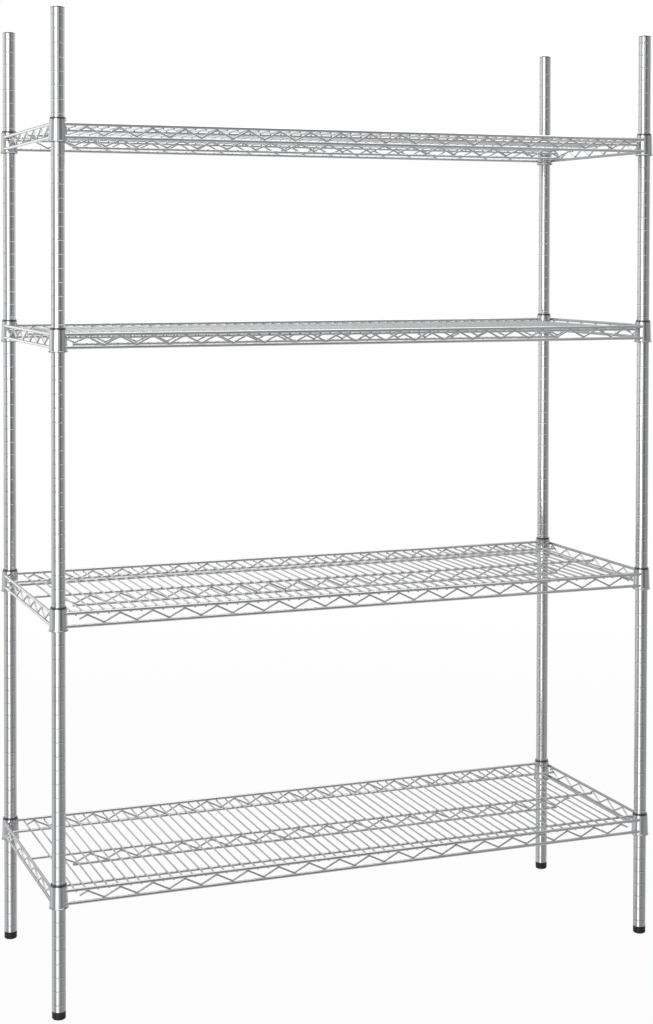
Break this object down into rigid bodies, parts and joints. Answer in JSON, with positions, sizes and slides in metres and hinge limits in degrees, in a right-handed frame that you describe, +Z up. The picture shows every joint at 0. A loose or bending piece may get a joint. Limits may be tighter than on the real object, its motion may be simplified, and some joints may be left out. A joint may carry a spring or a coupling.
{
  "type": "wire shelving unit",
  "caption": "Free-standing wire shelving unit: open welded wire shelves on grooved round posts, held by collars that wedge on split sleeves, with levelling feet.",
  "frame": {"origin": "on the floor, under the middle of the unit's footprint", "axes": "+X runs along the shelves to the right, +Y to the back, +Z up; the front is the -Y side"},
  "size_m": [1.2564, 0.4654, 1.8468],
  "materials": {
    "post_tube": "bright chrome plate over rolled steel tube",
    "rail_wire": "chrome plate over welded steel wire",
    "deck_wire": "chrome plate over thin steel wire",
    "collar": "chrome plate over a pressed steel collar",
    "zinc_steel": "zinc-plated steel",
    "sleeve_plastic": "moulded black plastic, satin",
    "foot_plastic": "moulded black plastic",
    "cap_plastic": "moulded dark grey plastic"
  },
  "bodies": {
    "posts": {"post_front_left": "post_tube", "post_front_right": "post_tube", "post_rear_left": "post_tube", "post_rear_right": "post_tube", "cap_front_left": "cap_plastic", "cap_front_right": "cap_plastic", "cap_rear_left": "cap_plastic", "cap_rear_right": "cap_plastic", "stem_inserts": "zinc_steel", "front_sleeve_halves_1": "sleeve_plastic", "rear_sleeve_halves_1": "sleeve_plastic", "front_sleeve_halves_2": "sleeve_plastic", "rear_sleeve_halves_2": "sleeve_plastic", "front_sleeve_halves_3": "sleeve_plastic", "rear_sleeve_halves_3": "sleeve_plastic", "front_sleeve_halves_4": "sleeve_plastic", "rear_sleeve_halves_4": "sleeve_plastic"},
    "shelf_1": {"front_rail_1": "rail_wire", "rear_rail_1": "rail_wire", "left_rail_1": "rail_wire", "right_rail_1": "rail_wire", "centre_truss_1": "rail_wire", "bearer_wires_1": "rail_wire", "deck_wires_1": "deck_wire", "collars_1": "collar"},
    "shelf_2": {"front_rail_2": "rail_wire", "rear_rail_2": "rail_wire", "left_rail_2": "rail_wire", "right_rail_2": "rail_wire", "centre_truss_2": "rail_wire", "bearer_wires_2": "rail_wire", "deck_wires_2": "deck_wire", "collars_2": "collar"},
    "shelf_3": {"front_rail_3": "rail_wire", "rear_rail_3": "rail_wire", "left_rail_3": "rail_wire", "right_rail_3": "rail_wire", "centre_truss_3": "rail_wire", "bearer_wires_3": "rail_wire", "deck_wires_3": "deck_wire", "collars_3": "collar"},
    "shelf_4": {"front_rail_4": "rail_wire", "rear_rail_4": "rail_wire", "left_rail_4": "rail_wire", "right_rail_4": "rail_wire", "centre_truss_4": "rail_wire", "bearer_wires_4": "rail_wire", "deck_wires_4": "deck_wire", "collars_4": "collar"},
    "leveller_front_left": {"foot_front_left": "foot_plastic", "stem_front_left": "zinc_steel"},
    "leveller_front_right": {"foot_front_right": "foot_plastic", "stem_front_right": "zinc_steel"},
    "leveller_rear_left": {"foot_rear_left": "foot_plastic", "stem_rear_left": "zinc_steel"},
    "leveller_rear_right": {"foot_rear_right": "foot_plastic", "stem_rear_right": "zinc_steel"}
  },
  "joints": [
    {"name": "shelf_1_lift", "type": "slide", "parent": "posts", "child": "shelf_1", "axis": [0, 0, 1], "range_m": [0, 0.463]},
    {"name": "shelf_2_lift", "type": "slide", "parent": "posts", "child": "shelf_2", "axis": [0, 0, 1], "range_m": [0, 0.463]},
    {"name": "shelf_3_lift", "type": "slide", "parent": "posts", "child": "shelf_3", "axis": [0, 0, 1], "range_m": [0, 0.336]},
    {"name": "shelf_4_lift", "type": "slide", "parent": "posts", "child": "shelf_4", "axis": [0, 0, 1], "range_m": [0, 0.26]},
    {"name": "leveller_front_left_screw", "type": "slide", "parent": "posts", "child": "leveller_front_left", "axis": [0, 0, -1], "range_m": [0, 0.02]},
    {"name": "leveller_front_right_screw", "type": "slide", "parent": "posts", "child": "leveller_front_right", "axis": [0, 0, -1], "range_m": [0, 0.02]},
    {"name": "leveller_rear_left_screw", "type": "slide", "parent": "posts", "child": "leveller_rear_left", "axis": [0, 0, -1], "range_m": [0, 0.02]},
    {"name": "leveller_rear_right_screw", "type": "slide", "parent": "posts", "child": "leveller_rear_right", "axis": [0, 0, -1], "range_m": [0, 0.02]}
  ]
}
